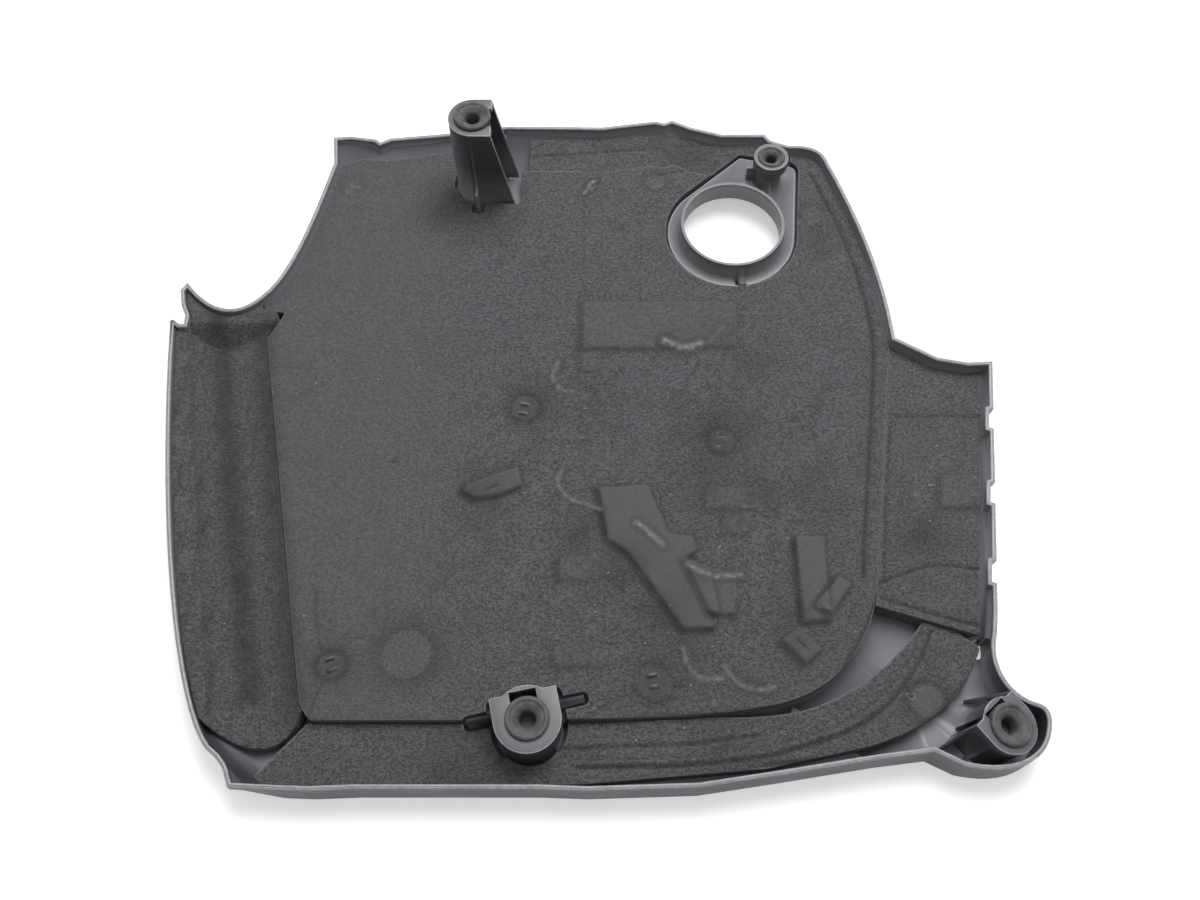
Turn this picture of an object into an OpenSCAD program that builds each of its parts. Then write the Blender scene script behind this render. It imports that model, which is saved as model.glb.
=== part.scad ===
// Engine cover, lying on its show face with its foam-lined underside up.
// X runs to the right, Y runs to the back and Z points out of the underside.
// The origin is at the middle of the box, on the surface it lies on.

/* [Cover] */
// Width of the cover over its widest points
cover_w = 565; // [540:1:600]
// Depth of the cover, front edge to back edge
cover_d = 500; // [480:1:530]
// Height of the rim above the show face
rim_h = 28; // [26:0.5:34]
// Wall of the moulding
wall = 2.8; // [2.2:0.1:3.4]
// How far the sides lean in between the rim and the show face
side_lean = 14; // [8:0.5:18]
// How far the back edge leans in between the rim and the show face
back_lean = 26; // [18:0.5:30]
// How far the back edge leans in at its left corner
corner_lean = 46; // [40:0.5:50]
// Upright lip left at the top of the leaning sides
rim_lip = 7; // [5:0.5:10]
// Recess of the middle panel in the show face
panel_recess = 7; // [5:0.5:8]

/* [Oil filler] */
// Bore of the filler opening
filler_bore = 71; // [64:0.5:76]
// Filler centre from the right end
filler_from_right = 171; // [165:1:176]
// Filler centre from the back end
filler_from_back = 100; // [96:1:106]
// Height of the collar above the land round it
collar_h = 13; // [9:0.5:16]
// Width of the flat land round the collar
land_ring = 9; // [7:0.5:11]
// Height of the land above the show face
land_h = 17; // [15:0.5:18.5]

/* [Tower] */
// Height of the tower's seat above the show face
tower_h = 88; // [70:1:100]
// Tower centre from the left end
tower_from_left = 209; // [200:1:220]
// Tower centre from the back end
tower_from_back = 54; // [50:1:60]
// Outer radius of the tower at its seat
tower_r = 17; // [16:0.5:19]
// Reach of the tower's two legs past its centre at the foot
leg_reach = 27; // [24:0.5:32]
// Reach of the tower's two legs past its centre at the seat
leg_top_reach = 13; // [11:0.5:16]

/* [Boss] */
// Height of the boss above the show face
boss_h = 41; // [34:0.5:48]
// Boss centre from the right end
boss_from_right = 141; // [136:1:146]
// Boss centre from the back end
boss_from_back = 48; // [45:1:52]
// Outer radius of the cup on top of the boss
cup_r = 12.6; // [12.2:0.1:14]
// Outer radius of the boss post
post_r = 9.6; // [9:0.1:10.4]
// Height of the cup
cup_h = 9; // [7:0.5:12]

/* [Front holder] */
// Height of the front holder's seat above the show face
holder_h = 36; // [30:0.5:42]
// Front holder centre from the left end
holder_from_left = 256; // [246:1:266]
// Front holder centre from the front end
holder_from_front = 39; // [36:1:44]
// Outer radius of the front holder
holder_r = 20; // [18:0.5:22]
// Turn of the front holder
holder_turn = 12; // [0:1:20]

/* [Corner lug] */
// Height of the corner lug's seat above the show face
lug_h = 33; // [28:0.5:38]
// Corner lug centre from the right end
lug_from_right = 30; // [28:0.5:34]
// Corner lug centre from the front end
lug_from_front = 36; // [34:0.5:40]
// Outer radius of the corner lug
lug_r = 17; // [16.5:0.25:18.5]
// Lean of the corner lug towards the right
lug_lean = 12; // [4:1:14]

/* [Rubber mounts] */
// Radius of the lip on the three large mounts
lip_r = 13; // [12:0.1:14]
// Thickness of the lip
lip_t = 3; // [2:0.1:4]
// Bore of the large mounts, for a ball stud
stud_bore = 10; // [8:0.1:11]
// Lip radius of the small mount
small_lip_r = 10; // [9:0.1:10.2]
// Bore of the small mount
small_bore = 7.8; // [6:0.1:8.4]
// Thickness of the seat plate a large mount clips in
seat_t = 3.5; // [2.5:0.1:5]
// Room between rubber and moulding
rubber_fit = 0.1; // [0.05:0.05:0.3]

/* [Foam mats] */
// Thickness of the large mat
mat_t = 10; // [8:0.5:12]
// Thickness of the lower mat, which the side mat stands over
thin_mat_t = 11; // [8:0.5:12]
// Room between mats and moulding
mat_fit = 0.2; // [0.1:0.05:0.4]
// Distance from the back rim to the large mat between the tower and the boss
back_border = 37; // [34:0.5:40]
// Thickness of the blades that hold the mats
blade_t = 1.6; // [1.2:0.1:2]
// Width of the blades that hold the mats
blade_w = 6; // [4:0.5:8]

/* [Hidden] */
$fn = 64;

left = -cover_w / 2;
right = cover_w / 2;
front = -cover_d / 2;
back = cover_d / 2;
floor_z = wall;
panel_z = panel_recess + wall;
mat_top = panel_z + mat_fit + mat_t;
thin_top = floor_z + mat_fit + thin_mat_t;
side_top = thin_top + 4;
through = 200;
// How far outside the rim's corners the leaning faces start
lean_clear = 0.4;
// Distance between the two blades of a pair
blade_pitch = 7;

filler_at = [right - filler_from_right, back - filler_from_back];
tower_at = [left + tower_from_left, back - tower_from_back];
boss_at = [right - boss_from_right, back - boss_from_back];
holder_at = [left + holder_from_left, front + holder_from_front];
lug_at = [right - lug_from_right, front + lug_from_front];

filler_r = filler_bore / 2;
collar_wall = 2;
land_r = filler_r + collar_wall + land_ring;
neck_r = lip_r - 3.5;
foot_r = lip_r - 1;
lip_taper = 1;
funnel_d = 4;
lug_turn = 130;
small_neck_r = small_lip_r - 2.4;

// Size of the cover that the distances in its outlines are given for
drawn_w = 565;
drawn_d = 500;

// Points of an outline by their distances from a corner, stretched with the cover
function left_back(x, y) = [left + x * cover_w / drawn_w, back - y * cover_d / drawn_d];
function left_front(x, y) = [left + x * cover_w / drawn_w, front + y * cover_d / drawn_d];
function right_back(x, y) = [right - x * cover_w / drawn_w, back - y * cover_d / drawn_d];
function right_front(x, y) = [right - x * cover_w / drawn_w, front + y * cover_d / drawn_d];

// Castellated right rim: notches at an even pitch along the right side
notch_pitch = 54 * cover_d / drawn_d;
notch_l = 15;
notch_d = 3;
notch_count = 3;
first_notch = right_back(0, 252).y;
rim_run = 0.137;
// Where the ear of the corner lug starts on the right rim
ear_top = right_front(0, 106).y;

// Pairs of blades that hold the mats: place, turn and height over the foam
panel_blades = [[left_front(247, 252), 80, 1], [right_front(186, 228), 80, -2],
    [right_front(235, 66), 100, 1], [right_back(111, 86), 110, -2],
    [right_back(226, 54), 120, -2], [left_back(114, 60), 70, -2],
    [left_front(136, 76), 110, 1]];
band_blades = [[right_front(78, 62), 60, -2]];

// Point at a share t of the way along a curve from a to d that is drawn towards b and c
function on_curve(a, b, c, d, t) =
    let (s = 1 - t) s * s * s * a + 3 * s * s * t * b + 3 * s * t * t * c + t * t * t * d;

function curve(a, b, c, d, n = 12) =
    [for (i = [0:n]) on_curve(a, b, c, d, i / n)];

// The rim line at the right side leans in towards the front
function right_rim(y) = right - (right_back(0, 215).y - y) * rim_run;

notched_edge =
    [for (i = [0:notch_count - 1])
        let (y = first_notch - i * notch_pitch, e = y - notch_l)
        each [[right_rim(y), y], [right_rim(y) - notch_d, y - 1],
            [right_rim(e) - notch_d, e + 1], [right_rim(e), e]]];

back_edge = [left_back(96, 17), left_back(109, 16), left_back(129, 19),
    left_back(132, 22), left_back(139, 18), left_back(185, 13),
    left_back(227, 6), left_back(300, 7), right_back(225, 1),
    right_back(218, 3), right_back(212, 0)];

back_right_edge = concat([right_back(198, 7), right_back(175, 14),
    right_back(142, 14), right_back(138, 20)],
    curve(right_back(125, 25), right_back(106, 24), right_back(99, 30),
        right_back(96, 42), 10),
    curve(right_back(96, 42), right_back(74, 104), right_back(66, 150),
        right_back(64, 196)),
    [right_back(37, 212), right_back(17, 216), right_back(0, 215)]);

ear_edge = concat(
    [[right_rim(ear_top), ear_top]],
    curve(right_front(27, 93), right_front(34, 74), [right - 26, front + 56],
        [right - 11, front + 51]),
    curve([right - 11, front + 51], [right - 1, front + 49], [right - 2, front + 40],
        [right - 6, front + 30], 8),
    curve([right - 6, front + 30], [right - 14, front + 12], [right - 38, front + 9],
        right_front(58, 14)),
    [right_front(66, 18), right_front(74, 22)]);

front_edge = [right_front(106, 18), right_front(163, 9), right_front(210, 2),
    right_front(274, 0), left_front(263, 1), left_front(158, 1),
    left_front(131, 0), left_front(106, 1)];

left_edge = concat(
    curve(left_front(86, 2), left_front(82, 10), left_front(84, 14),
        left_front(70, 24), 5),
    curve(left_front(70, 24), left_front(48, 48), left_front(18, 160),
        left_front(0, 318), 16),
    [left_front(2, 319), left_front(7, 315), left_front(10, 315),
        left_front(10, 322), left_front(6, 330), left_front(3, 343),
        left_front(7, 350)]);

cove_edge = concat(
    curve(left_front(7, 350), left_front(26, 326), left_front(44, 320),
        left_front(60, 338)),
    curve(left_front(60, 338), left_front(80, 356), left_front(92, 424),
        left_front(99, 458)));

rim_line = concat(back_edge, back_right_edge, notched_edge, ear_edge, front_edge, left_edge,
    cove_edge);

// Lines that touch a curved stretch of the rim, below which the side leans in: two points,
// how far it leans, and how far the line runs on before the first and after the last point
function touching(a, b, c, d, lean, before, after) =
    [for (t = [0:0.34:1.02])
        let (s = 1 - t, p = on_curve(a, b, c, d, t),
            q = s * s * (b - a) + 2 * s * t * (c - b) + t * t * (d - c))
            [p, p + q, lean, before + norm(p - a), after]];

leaning_sides = concat(
    touching(left_front(0, 318), left_front(18, 160), left_front(48, 48),
        left_front(70, 24), side_lean, through, through),
    [[left_back(227, 6), left_back(96, 17), corner_lean, -4, through],
        [right_back(212, 0), left_back(227, 6), back_lean, through, through],
        [right_back(142, 14), right_back(212, 0), back_lean, through, through],
        [right_back(66, 180), right_back(74, 110), side_lean, 12, through],
        [right_back(74, 110), right_back(92, 46), side_lean, 80, through],
        [right_front(30, 94), right_back(0, 215), side_lean - 4, 0, 0]]);

// Outline of the recessed middle panel at the face of the underside
panel_line = concat(
    [left_front(62, 330), left_front(119, 52), left_front(126, 42)],
    curve(left_front(126, 42), right_front(270, 42), right_front(205, 42),
        right_front(160, 52), 6),
    curve(right_front(160, 52), right_front(118, 62), right_front(98, 96),
        right_front(93, 130)),
    [right_back(66, 196), right_back(40, 180), right_back(40, 0),
        right_back(150, -13), left_back(245, 0), left_back(40, 0)]);

// Corners and sides where the middle panel and its mat run on to the rim
back_corners = [
    [left_back(40, 170), left_back(90, 45), left_back(101, 38), left_back(118, 31),
        left_back(137, 33), left_back(186, 24), left_back(200, 22), left_back(200, 70),
        left_back(90, 170)],
    [right_back(123, 70), right_back(123, 20), right_back(60, 20), right_back(50, 200),
        right_back(90, 200)]];

module rim_shape(inset = 0) {
    offset(delta = -inset)
        polygon(rim_line);
}

module panel_shape() {
    intersection() {
        polygon(panel_line);
        rim_shape(wall / 2);
        union() {
            translate([0, -back_border])
                rim_shape();
            for (c = back_corners)
                polygon(c);
        }
    }
}

// Flat land that carries the filler collar and the boss
module land_shape() {
    hull() {
        translate(filler_at)
            circle(r = land_r);
        translate(boss_at)
            translate([-19, 18])
                circle(r = 2);
        translate(boss_at)
            translate([16, 6])
                circle(r = 6);
    }
}

// Wedge that takes the lower corner off one stretch of the side, or with grow leaves
// a wall of that thickness over it
module lean_cut(a, b, lean, before, after, grow) {
    run = norm(b - a);
    turn = atan2(b.y - a.y, b.x - a.x);
    h = rim_h - rim_lip;
    shift = grow * sqrt(lean * lean + h * h) / h;
    side = grow == 0 ? 1 : 0;
    out = 90;
    top = h + (shift - grow) * h / lean;
    translate([a.x, a.y, 0])
        rotate([0, 0, turn])
            translate([-before - grow, -lean_clear, 0])
                rotate([90, 0, 90])
                    linear_extrude(run + before + after + 2 * grow)
                        polygon([[-out, -side], [-out, top], [grow, top], [shift + lean, 0],
                            [shift + lean, -side]]);
}

module lean_cuts(grow) {
    for (s = leaning_sides)
        lean_cut(s[0], s[1], s[2], s[3], s[4], grow);
}

// Room that the recess of the middle panel takes up under the moulding
module panel_recess_form() {
    translate([0, 0, -1])
        linear_extrude(panel_recess + 1)
            offset(delta = -wall)
                panel_shape();
}

// Block with the outside form of the moulding
module outside_form() {
    difference() {
        linear_extrude(rim_h)
            rim_shape();
        lean_cuts(0);
        panel_recess_form();
        translate([0, 0, -1])
            linear_extrude(land_h - wall + 1)
                offset(delta = -wall)
                    intersection() {
                        land_shape();
                        rim_shape(wall);
                    }
    }
}

// Block with the form of the hollow on the underside, smaller by gap all round
module inside_form(gap = 0) {
    difference() {
        translate([0, 0, floor_z + gap])
            linear_extrude(rim_h)
                rim_shape(wall + gap);
        lean_cuts(wall + gap);
        linear_extrude(panel_z + gap)
            offset(delta = gap)
                panel_shape();
        linear_extrude(land_h + gap)
            offset(delta = gap)
                land_shape();
    }
}

// Outline with one round end and two straight sides that reach towards +X
module u_shape(r, reach) {
    circle(r = r);
    translate([0, -r])
        square([reach, 2 * r]);
}

// Round-backed wall with two legs and an open side towards +X, in its own frame
module horseshoe(r, h, reach, t) {
    linear_extrude(h)
        difference() {
            u_shape(r, reach);
            offset(delta = -t)
                u_shape(r, reach + t + 1);
        }
}

// Seat plate with a slot that a rubber mount slides in from +X, top face at z = 0
module seat_plate(r, reach) {
    translate([0, 0, -seat_t])
        linear_extrude(seat_t)
            difference() {
                u_shape(r, reach);
                circle(r = neck_r + rubber_fit);
                translate([0, 1.5 - neck_r])
                    square([reach + 1, 2 * neck_r - 3]);
            }
}

module tower() {
    foot = panel_z - wall / 2;
    rise = tower_h - foot;
    leg_slope = atan2(leg_reach - leg_top_reach, rise);
    translate([tower_at.x, tower_at.y, 0])
        difference() {
            union() {
                translate([0, 0, foot])
                    horseshoe(tower_r, rise, leg_reach, wall);
                translate([0, 0, tower_h])
                    seat_plate(tower_r, leg_top_reach + 1);
                translate([-2, -tower_r - 8, foot])
                    cube([2, 9, 26]);
            }
            translate([leg_reach, -through / 2, foot])
                rotate([0, -leg_slope, 0])
                    cube([through, through, through]);
        }
}

module boss() {
    foot = land_h - wall / 2;
    translate([boss_at.x, boss_at.y, 0]) {
        translate([0, 0, foot])
            cylinder(h = boss_h - cup_h - foot + 1, r = post_r);
        translate([0, 0, boss_h - cup_h])
            cylinder(h = cup_h, r = cup_r);
        translate([-1, -post_r - 10, foot])
            cube([2, 12, 8]);
        translate([-post_r - 7, -1, foot])
            cube([9, 2, 14]);
    }
}

// Socket in the boss that the small mount sits in
module boss_socket() {
    translate([boss_at.x, boss_at.y, boss_h - 2])
        cylinder(h = 3, r = small_lip_r + rubber_fit);
    translate([boss_at.x, boss_at.y, boss_h - 14])
        cylinder(h = 13, r = small_neck_r + rubber_fit);
}

module front_holder() {
    foot = floor_z - wall / 2;
    translate([holder_at.x, holder_at.y, 0])
        rotate([0, 0, 90 + holder_turn]) {
            translate([0, 0, foot])
                horseshoe(holder_r, holder_h - foot, holder_r - 4, wall);
            translate([0, 0, holder_h])
                seat_plate(holder_r, holder_r - 4);
            for (s = [-1, 1])
                translate([holder_r - 12, s > 0 ? holder_r - 1 : -holder_r - 15, foot])
                    cube([2, 16, mat_top - foot + 4]);
        }
}

module corner_lug() {
    foot = floor_z - wall / 2;
    intersection() {
        translate([lug_at.x, lug_at.y, lug_h])
            rotate([0, lug_lean, 0])
                rotate([0, 0, lug_turn]) {
                    translate([0, 0, -lug_h - 6])
                        horseshoe(lug_r, lug_h + 6, lug_r - 4, wall);
                    seat_plate(lug_r, lug_r - 4);
                }
        translate([lug_at.x, lug_at.y, foot + through / 2])
            cube([through, through, through], center = true);
    }
    intersection() {
        translate([lug_at.x, lug_at.y, foot])
            rotate([0, 0, lug_turn])
                for (s = [-1, 1])
                    translate([lug_r - 4, s * (lug_r - 1), 0])
                        rotate([90, 0, s < 0 ? 178 - lug_turn : 208 - lug_turn])
                            translate([0, 0, -1])
                                linear_extrude(2)
                                    polygon([[-2, 0], [20, 0], [20, 3], [0, lug_h - foot - 6],
                                        [-2, lug_h - foot - 6]]);
        linear_extrude(rim_h)
            rim_shape(wall / 2);
    }
}

module collar() {
    translate([filler_at.x, filler_at.y, land_h - wall])
        cylinder(h = wall + collar_h, r = filler_r + collar_wall);
    translate([filler_at.x + 3, filler_at.y - land_r + 1, land_h - 1])
        cube([5, land_ring, 2.5]);
}

module blade_pair(at, top, fit = 0) {
    for (s = [-1, 1])
        translate([at[0].x, at[0].y, floor_z / 2])
            rotate([0, 0, at[1]])
                translate([s * blade_pitch / 2 - blade_t / 2 - fit, -blade_w / 2 - fit, 0])
                    cube([blade_t + 2 * fit, blade_w + 2 * fit, top - floor_z / 2]);
}

module shell() {
    color([0.23, 0.23, 0.25])
        difference() {
            union() {
                difference() {
                    outside_form();
                    inside_form();
                }
                difference() {
                    tower();
                    lean_cuts(0);
                }
                boss();
                difference() {
                    front_holder();
                    panel_recess_form();
                }
                corner_lug();
                collar();
                for (p = panel_blades)
                    translate([0, 0, panel_z - floor_z])
                        blade_pair(p, mat_top - panel_z + floor_z + p[2]);
                for (p = band_blades)
                    blade_pair(p, thin_top + p[2]);
            }
            boss_socket();
            translate([filler_at.x, filler_at.y, -1])
                cylinder(h = through, r = filler_r, $fn = 96);
            translate(concat(right_front(36, 84), -1))
                cube([6, 9, rim_h - rim_lip]);
        }
}

// Clear way round the moulded features that stand up through the mats
module feature_gaps() {
    translate(tower_at)
        offset(r = 3) {
            u_shape(tower_r, leg_reach);
            translate([-3, -tower_r - 9])
                square([4, 10]);
        }
    translate(holder_at)
        rotate(90 + holder_turn)
            offset(r = 3) {
                u_shape(holder_r, holder_r - 4);
                translate([holder_r - 12, -holder_r - 15])
                    square([2, 2 * holder_r + 30]);
            }
    offset(r = 1.5)
        land_shape();
}

// Foam that fills an outline in the hollow up to a height
module foam(top) {
    intersection() {
        linear_extrude(top)
            difference() {
                children();
                feature_gaps();
            }
        inside_form(mat_fit);
    }
}

module main_mat() {
    color([0.29, 0.29, 0.3])
        difference() {
            foam(mat_top)
                panel_shape();
            for (p = panel_blades)
                blade_pair(p, rim_h, mat_fit);
        }
}

module lower_mat() {
    inner = concat(
        [left_front(90, 4), left_front(126, 44)],
        curve(right_front(240, 46), right_front(200, 46), right_front(175, 44),
            right_front(150, 48), 6),
        curve(right_front(150, 48), right_front(112, 58), right_front(84, 80),
            right_front(62, 112), 8));
    outer = concat(
        curve(right_front(34, 88), right_front(48, 52), right_front(76, 38),
            right_front(108, 28), 8),
        [right_front(170, 15), right_front(280, 6)]);
    color([0.27, 0.27, 0.28])
        difference() {
            foam(thin_top)
                difference() {
                    polygon(concat(inner, outer));
                    offset(delta = 2 * mat_fit)
                        panel_shape();
                    side_mat_shape(mat_fit);
                }
            for (p = band_blades)
                blade_pair(p, rim_h, mat_fit);
        }
}

module side_mat_shape(grow = 0) {
    offset(delta = grow)
        polygon([right_back(66, 190), right_back(-4, 190), right_front(26, 92),
            right_front(97, 114)]);
}

module side_mat() {
    color([0.28, 0.28, 0.29])
        foam(side_top)
            difference() {
                side_mat_shape();
                offset(delta = 2 * mat_fit)
                    panel_shape();
            }
}

// Trough mat: its section is hollow, with the two long sides swept up, and its back end
// slopes up to the rim
module trough_mat() {
    trough_turn = 11.7;
    low = 8;
    high = rim_h - 4;
    slope_at = left_front(0, 300).y;
    color([0.24, 0.24, 0.25])
        intersection() {
            foam(rim_h)
                difference() {
                    polygon(concat([left_front(30, 40), left_front(-8, 120),
                        left_front(-8, 356), left_front(66, 356), left_front(124, 62)],
                        curve(left_front(124, 62), left_front(120, 14),
                            left_front(84, 22), left_front(60, 44), 10)));
                    offset(delta = 2 * mat_fit)
                        panel_shape();
                }
            union() {
                translate(left_front(32, 330))
                    rotate([90, 0, trough_turn])
                        linear_extrude(through * 2)
                            polygon(concat([[-60, 0], [-60, high], [-24, high]],
                                curve([-24, high], [-20, low], [12, low], [30, mat_top], 12),
                                [[60, mat_top], [60, 0]]));
                translate([left - 1, slope_at, 0])
                    rotate([90, 0, 90])
                        linear_extrude(cover_w / 4)
                            polygon([[-9, 0], [0, low], [18, high], [60, high], [60, 0]]);
            }
        }
}

module upper_mat() {
    color([0.27, 0.27, 0.28])
        foam(mat_top - 1)
            difference() {
                polygon([left_back(245, 60), left_back(245, 0), right_back(150, 0),
                    right_back(150, 60)]);
                offset(delta = 2 * mat_fit)
                    panel_shape();
            }
}

// Rubber mount with a funnel mouth over a blind bore, lip seat at z = 0
module rubber_mount(lip, neck, foot, bore, depth, plate) {
    top = rubber_fit + lip_t;
    under = -plate - rubber_fit;
    rotate_extrude()
        polygon([[0, -depth - 3], [foot - 3, -depth - 3], [foot, -depth + 1],
            [foot, under], [neck, under], [neck, rubber_fit], [lip, rubber_fit],
            [lip, top - lip_taper], [lip - lip_taper, top], [lip - 3.2, top],
            [bore / 2, top - funnel_d], [bore / 2, -depth], [0, -depth]]);
}

module large_mount() {
    color([0.2, 0.2, 0.21])
        rubber_mount(lip_r, neck_r, foot_r, stud_bore, 12, seat_t);
}

module tower_grommet() {
    translate([tower_at.x, tower_at.y, tower_h])
        large_mount();
}

module front_grommet() {
    translate([holder_at.x, holder_at.y, holder_h])
        large_mount();
}

module corner_grommet() {
    translate([lug_at.x, lug_at.y, lug_h])
        rotate([0, lug_lean, 0])
            large_mount();
}

module boss_grommet() {
    color([0.2, 0.2, 0.21])
        translate([boss_at.x, boss_at.y, boss_h - 2])
            rubber_mount(small_lip_r, small_neck_r, small_neck_r, small_bore, 8, 2);
}

shell();
main_mat();
lower_mat();
side_mat();
trough_mat();
upper_mat();
tower_grommet();
boss_grommet();
front_grommet();
corner_grommet();
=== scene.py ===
"""Dresses the engine cover: moulding, foam mats, rubber mounts and a plain studio stage."""
import math

import bmesh
import bpy
import numpy as np
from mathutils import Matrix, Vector


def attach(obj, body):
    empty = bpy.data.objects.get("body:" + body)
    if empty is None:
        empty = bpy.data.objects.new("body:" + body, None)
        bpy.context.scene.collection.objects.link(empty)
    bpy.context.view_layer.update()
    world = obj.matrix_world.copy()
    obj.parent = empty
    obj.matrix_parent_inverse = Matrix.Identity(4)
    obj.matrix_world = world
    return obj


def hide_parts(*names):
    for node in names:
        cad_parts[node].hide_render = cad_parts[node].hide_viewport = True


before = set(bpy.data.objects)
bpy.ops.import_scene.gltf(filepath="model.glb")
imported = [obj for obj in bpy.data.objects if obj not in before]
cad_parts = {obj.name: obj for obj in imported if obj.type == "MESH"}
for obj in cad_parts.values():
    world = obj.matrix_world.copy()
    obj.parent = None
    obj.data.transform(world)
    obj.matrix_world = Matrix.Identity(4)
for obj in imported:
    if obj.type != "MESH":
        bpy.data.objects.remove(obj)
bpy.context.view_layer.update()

bl_info = {
    "name": "Engine cover",
    "version": (1, 0, 0),
    "blender": (4, 5, 0),
    "location": "3D View > Sidebar > Cover",
    "description": "Dresses a moulded engine cover with foam mats and rubber mounts",
    "category": "Object",
}

MM = 0.001
BODY = "root"
WHITE = (1, 1, 1, 1)

# The photograph's view, with the camera's place in metres
LENS_MM = 34.5
SENSOR_MM = 36
CAMERA_AT = (0.0155, -0.3738, 0.6963)
CAMERA_TILT = math.radians(27)

# The lamp's place and size, in metres
LAMP_AT = (0.25, 0.62, 1.55)
LAMP_SIZE = 1.1

# The floor's height in millimetres, the range of its tones and its glow
FLOOR_Z = -0.1
FLOOR_TONES = (0.80, 0.83)
FLOOR_GLOW = 0.42

# Shares of the surround's strength that come from each way
AT_HORIZON = 0.30
OVERHEAD = 1.5
FROM_FRONT = 0.58
FROM_BEHIND = 1.35

# Heights of the foam's upper faces, in millimetres
PANEL_TOP = 20
BAND_TOP = 14
SIDE_TOP = 18
TROUGH_LOW = 8
STRIP_TOP = 19

# Height of the moulding's rim and of the land round the filler, in millimetres
RIM_TOP = 28
LAND_TOP = 17

# Edges of the moulding that are rounded: the least angle between their faces, how near a
# level one lies to the rim's or the land's height, and how high a standing one reaches and
# starts, in millimetres
SHARP_FROM = math.radians(38)
LEVEL_WITHIN = 0.3
STANDS_OVER = RIM_TOP + 1.5
STANDS_FROM = 5

# Faces that meet at less than these angles look smooth, and a rounded edge has so many steps
SMOOTH_PLASTIC = math.radians(35)
SMOOTH_RUBBER = math.radians(50)
EDGE_SEGMENTS = 3

# Where the moulding is painted lighter, as dust and painted light, in millimetres: the heights
# that it fades between, and how far back it fades in, low in the moulding; then the heights under
# which faces that look up are lighter still
LOW_DUST_AND_LIGHT_HEIGHTS = (22, 52)
BACK_DUST_AND_LIGHT_PLACES = (-200, -120)
FLOOR_DUST_AND_LIGHT_HEIGHTS = (12, 16)

# Points of a CAD mesh that lie nearer than this are merged, in millimetres
MERGED_WITHIN = 0.002

# Share of its vertices that a mat's hidden lower face loses when it is thinned
THINNED_SHARE = 0.92

# Depths under a mat's upper face where its marks and the painted highlight on its rounded edges
# start and are full, in millimetres
MARKS_FADE = (6, 1.5)
HIGHLIGHT_FADE = (4, 1)

# How far up the foam looks where the painted highlight on a rounded edge starts and is full,
# coming from the top and
# from the side: 1 is straight up
HIGHLIGHT_LEAVES_TOP = (0.97, 0.80)
HIGHLIGHT_LEAVES_SIDE = (0.0, 0.35)

# How many waves make a face uneven, and the size in millimetres and the seed of those that
# break up a scuff
WAVE_COUNT = 7
SCUFF_WAVES = (6, 8)

# Foam round a raised field: how deep it sinks, as a share of the field's height, and how
# wide, in millimetres
MOAT_DEPTH = 0.45
MOAT_WIDTH = 3.2

# Painted shade round a raised field and its painted shadow at its lower left: amount and reach in
# millimetres, how far the second lies off the edge, and the most that a high field gets
SHADE_ROUND_FIELD = (0.60, 1.9)
SHADE_LOWER_LEFT = (0.78, 3.0)
SHADE_SHIFT = (2.4, 2.0)
MOST_SHADE = 1.2

# A disc in its dimple: the reach of the dimple and of the painted shade in it as shares of the
# radius, how far the disc rises in it, how smooth it gets and how much painted shade lies round
# it, and how soft its edge, its smooth skin's and its painted shade's are, in millimetres
DIMPLE_REACH = 0.9
DISC_SHADE_REACH = 0.62
DISC_RISE = 0.5
DISC_SMOOTH = 0.8
DISC_SHADE = 0.8
DISC_EDGE = 1.6
DISC_SKIN_EDGE = 1.2
DISC_SHADE_EDGE = 0.2

# Painted shade in a crease, as shares of the crease's depth and width
CREASE_SHADE = 0.55
CREASE_SHADE_WIDTH = 0.9

# A scuff: how far it strays, in millimetres, its height and how light it is, each with how
# much it varies, the light crest's share of its width and the painted shade at its foot beside it
SCUFF_STRAY = 0.4
SCUFF_HEIGHT = (0.65, 0.5)
SCUFF_RUBBED = (0.6, 0.4)
SCUFF_CREST = 0.75
SCUFF_SHADE = 0.35

# A slit: depth and width in millimetres, and its painted shade's amount and reach
SLIT_DEPTH = 0.9
SLIT_WIDTH = 0.9
SLIT_SHADE = (0.95, 1.0)

# Sockets of a Mix node for colours: the colour below, the one above and the result
MIX_UNDER = 6
MIX_OVER = 7
MIX_RESULT = 2

# Raised fields of the large mat, in millimetres: outline, height and softness of the edge
PLATEAU = [(15, -57), (47, -55), (49, -61), (59, -89), (75, -91), (76, -101), (69, -106),
           (85, -112), (89, -143), (81, -141), (86, -151), (67, -152), (33, -101), (21, -93)]
PLATEAU_STEP = [(69, -106), (100, -117), (99, -142), (84, -142)]
LABEL_PLATE = [(4, 88), (111, 88), (110, 51), (4, 50)]
BAR = [(140, -91), (158, -91), (157, -146), (141, -147)]
TAG = [(150, -135), (165, -118), (172, -123), (158, -142)]
CORNER_SQUARE = [(127, -159), (137, -151), (150, -165), (140, -173)]
KEY = [(-73, -59), (-71, -55), (-55, -48), (-38, -42), (-35, -55), (-51, -62), (-65, -64)]
FACE_BOX = [(-10, -105), (22, -105), (22, -119), (-9, -119)]
SMALL_BOX = [(-12, -162), (19, -162), (19, -175), (-12, -175)]
T_HEAD = [(84, -58), (119, -58), (118, -71), (84, -71)]
T_STEM = [(96, -71), (110, -71), (110, -88), (96, -88)]
SMALL_SQUARE = [(3, 46), (16, 46), (16, 31), (3, 31)]
RAISED = [
    (PLATEAU, 1.5, 0.9),
    (PLATEAU_STEP, 0.9, 0.9),
    (LABEL_PLATE, 0.7, 0.8),
    (BAR, 1.2, 0.9),
    (TAG, 1.1, 1.0),
    (CORNER_SQUARE, 1.0, 0.9),
    (KEY, 1.5, 0.9),
    (FACE_BOX, 0.6, 0.9),
    (SMALL_BOX, 0.5, 1.1),
    (T_HEAD, 0.6, 0.9),
    (T_STEM, 0.5, 1.0),
    (SMALL_SQUARE, 0.4, 0.9),
]
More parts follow.
